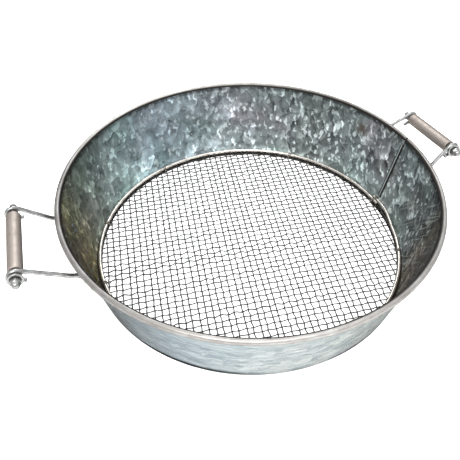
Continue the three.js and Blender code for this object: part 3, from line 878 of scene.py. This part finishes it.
def make_handle(side, grip_material, bolt_material):
    matrix = axle_matrix(side)
    half = ARM_Y - ARM_WIRE / 2 - END_PLAY
    stop = ARM_Y + ARM_WIRE / 2 + END_PLAY

    profile = [(GRIP_BORE, -half), (GRIP_R - 1.2, -half), (GRIP_R - 0.45, -half + 0.15),
               (GRIP_R - 0.1, -half + 0.5), (GRIP_R, -half + 1.0)]
    profile += [(GRIP_R - 0.02, z) for z in np.linspace(-half + 5.0, half - 5.0, 13)]
    profile += [(GRIP_R, half - 1.0), (GRIP_R - 0.1, half - 0.5), (GRIP_R - 0.45, half - 0.15),
                (GRIP_R - 1.2, half), (GRIP_BORE, half)]
    verts, faces, uvs = turned_mesh(profile, even_angles(64), True)
    grip = make_piece(f"{side}_grip_tube", place(verts, matrix), faces, [grip_material],
                      f"{side}_grip", uvs)
    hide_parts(f"{side}_grip")

    profile = [(0.0, -ARM_Y - 10.0), (1.6, -ARM_Y - 9.9), (BOLT_R, -ARM_Y - 9.0), (BOLT_R, stop),
               (4.3, stop), (4.6, stop + 0.25), (4.6, stop + 0.8), (4.2, stop + 1.1),
               (3.25, stop + 1.5), (3.1, stop + 1.9), (3.1, stop + 4.6), (2.9, stop + 5.4),
               (2.3, stop + 6.2), (1.3, stop + 6.8), (0.0, stop + 7.0)]
    verts, faces, uvs = turned_mesh(profile, even_angles(40), False)
    bolt = make_piece(f"{side}_bolt", place(verts, matrix), faces, [bolt_material], "pan",
                      uvs)
    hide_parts(f"{side}_axle_bolt")

    profile = [(BOLT_R + BORE_GAP, -stop - 1.2), (6.3, -stop - 1.2), (6.6, -stop - 0.95),
               (6.6, -stop - 0.2), (6.4, -stop), (BOLT_R + BORE_GAP, -stop)]
    verts, faces, uvs = turned_mesh(profile, even_angles(48), True)
    washer = make_piece(f"{side}_washer", place(verts, matrix), faces, [bolt_material], "pan",
                        uvs)
    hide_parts(f"{side}_axle_washer")

    start = stop + 1.2 + 0.3

    def hexagon(_, a, r, z):
        if r < NUT_DOME_R:
            return r, z
        flat = NUT_FLAT_R / math.cos((a + math.pi / 6) % (math.pi / 3) - math.pi / 6)
        return min(r, flat), z

    profile = [(0.0, -start - 7.6), (0.9, -start - 7.5), (1.8, -start - 7.1), (2.9, -start - 6.1),
               (3.3, -start - 5.3), (3.5, -start - 4.4), (3.5, -start - 3.3), (4.0, -start - 3.2),
               (4.5, -start - 2.8), (4.5, -start - 0.4), (4.0, -start),
               (BOLT_R + BORE_GAP, -start), (BOLT_R + BORE_GAP, -start - 5.0),
               (0.0, -start - 5.1)]
    verts, faces, uvs = turned_mesh(profile, even_angles(72), False, hexagon)
    nut = make_piece(f"{side}_nut", place(verts, matrix), faces, [bolt_material], "pan",
                     uvs)
    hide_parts(f"{side}_axle_nut")


# ---- room, lights and camera -------------------------------------------------------------------
def make_floor(material):
    bm = bmesh.new()
    reach = 5.0
    corners = [bm.verts.new((x * reach, y * reach, 0.0)) for x, y in
               ((-1, -1), (1, -1), (1, 1), (-1, 1))]
    bm.faces.new(corners)
    bmesh.ops.subdivide_edges(bm, edges=bm.edges[:], cuts=6, use_grid_fill=True)
    mesh = bpy.data.meshes.new("floor")
    bm.to_mesh(mesh)
    bm.free()
    mesh.materials.append(material)
    obj = bpy.data.objects.new("floor", mesh)
    bpy.context.scene.collection.objects.link(obj)


def add_area(name, at, aim, size, power, color=(1.0, 1.0, 1.0)):
    data = bpy.data.lights.new(name, "AREA")
    data.shape = "DISK"
    data.size = size
    data.energy = power
    data.color = color
    obj = bpy.data.objects.new(name, data)
    obj.location = at
    direction = Vector(aim) - Vector(at)
    obj.rotation_euler = direction.to_track_quat("-Z", "Y").to_euler()
    bpy.context.scene.collection.objects.link(obj)


def make_world():
    world = bpy.data.worlds.new("studio")
    world.use_nodes = True
    tree = world.node_tree
    shade = tree.nodes["Background"]
    shade.inputs["Strength"].default_value = 1.5
    coords = tree.nodes.new("ShaderNodeTexCoord")
    parts = tree.nodes.new("ShaderNodeSeparateXYZ")
    fade = tree.nodes.new("ShaderNodeValToRGB")
    fade.color_ramp.elements[0].position = 0.05
    fade.color_ramp.elements[0].color = (0.30, 0.31, 0.32, 1.0)
    fade.color_ramp.elements[1].position = 0.75
    fade.color_ramp.elements[1].color = (1.15, 1.18, 1.2, 1.0)
    tree.links.new(coords.outputs["Generated"], parts.inputs[0])
    tree.links.new(parts.outputs["Z"], fade.inputs[0])
    tree.links.new(fade.outputs[0], shade.inputs["Color"])
    bpy.context.scene.world = world


def make_camera():
    at, aim = Vector(CAMERA_AT), Vector(CAMERA_AIM)
    forward = (aim - at).normalized()
    right = forward.cross(Vector((0, 0, 1))).normalized()
    up = right.cross(forward)
    roll = math.radians(CAMERA_ROLL)
    x_axis = right * math.cos(roll) + up * math.sin(roll)
    y_axis = up * math.cos(roll) - right * math.sin(roll)
    rotation = Matrix((x_axis, y_axis, -forward)).transposed()
    data = bpy.data.cameras.new("camera")
    data.lens = CAMERA_LENS
    data.sensor_width = 36.0
    data.shift_x, data.shift_y = CAMERA_SHIFT
    data.clip_start = 0.01
    data.dof.use_dof = False
    obj = bpy.data.objects.new("camera", data)
    obj.matrix_world = Matrix.Translation(at) @ rotation.to_4x4()
    bpy.context.scene.collection.objects.link(obj)
    bpy.context.scene.camera = obj
    bpy.context.scene.view_settings.view_transform = "Standard"


make_camera()
make_world()
make_floor(floor_paper())
add_area("key", (-0.7, -1.1, 1.9), (0, 0, 0), 1.2, 50.0, (1.0, 0.99, 0.97))
add_area("back", (0.4, 1.3, 1.5), (0, 0, 0), 1.0, 18.0, (0.95, 0.98, 1.0))

# The ledge and bead-shadow finishes are near black: painted shadow on the ledge under the hoop and
# under the bead; the ledge finish also darkens the seam's joints.
zinc = {"inside": zinc_inside(), "outside": zinc_outside(), "rim": zinc_rim(),
        "strip": plain_steel("strip_steel", (0.26, 0.29, 0.29), (0.56, 0.60, 0.60), 0.4),
        "ledge": plain_steel("ledge_shade_and_joint_steel", (0.012, 0.011, 0.010), (0.04, 0.036, 0.032), 0.6,
                             soil=0.5),
        "bead_shadow": plain_steel("bead_shadow_steel", (0.010, 0.009, 0.008), (0.036, 0.033, 0.030), 0.5,
                              soil=0.5)}
wire_steel = plain_steel("screen_steel", (0.018, 0.018, 0.018), (0.065, 0.065, 0.063), 0.50,
                         metallic=0.35, scale=(1.0, 1.5, 1.0))
# The hoop is painted lighter at the back, where it catches the light.
hoop_steel = plain_steel("hoop_steel", (0.24, 0.215, 0.19), (0.58, 0.55, 0.51), 0.26, soil=0.3,
                         painted_light_by_turn=[(0.52, 1.0), (0.62, 1.25), (0.70, 1.8), (0.84, 1.8), (0.93, 1.1)])
tie_steel = plain_steel("tie_steel", (0.03, 0.024, 0.02), (0.4, 0.37, 0.34), 0.4)
arm_steel = plain_steel("arm_steel", (0.13, 0.13, 0.127), (0.40, 0.40, 0.39), 0.24, soil=0.3)
grip_steel = plain_steel("grip_steel", (0.19, 0.163, 0.143), (0.40, 0.35, 0.318), 0.46,
                         scale=(14.0, 0.25, 1.0), grain=1.6, bump=0.35, soil=0.25)
bolt_steel = plain_steel("bolt_steel", (0.11, 0.11, 0.107), (0.42, 0.42, 0.41), 0.24, soil=0.35)

make_pan(zinc)
make_hole_lips(zinc["strip"])
make_seam(zinc)
make_screen(wire_steel)
make_hoop(hoop_steel)
for index, angle in enumerate(TIE_ANGLES):
    make_tie(index, angle, tie_steel)
for side in ("right", "left"):
    for end in ("near", "far"):
        make_arm(side, end, arm_steel)
        make_rivets(side, end, zinc["outside"])
    make_handle(side, grip_steel, bolt_steel)

rim_wire = frame["nodes"]["rim_wire"]
rim_wire.data.materials.clear()
rim_wire.data.materials.append(hoop_steel)

bpy.context.view_layer.update()
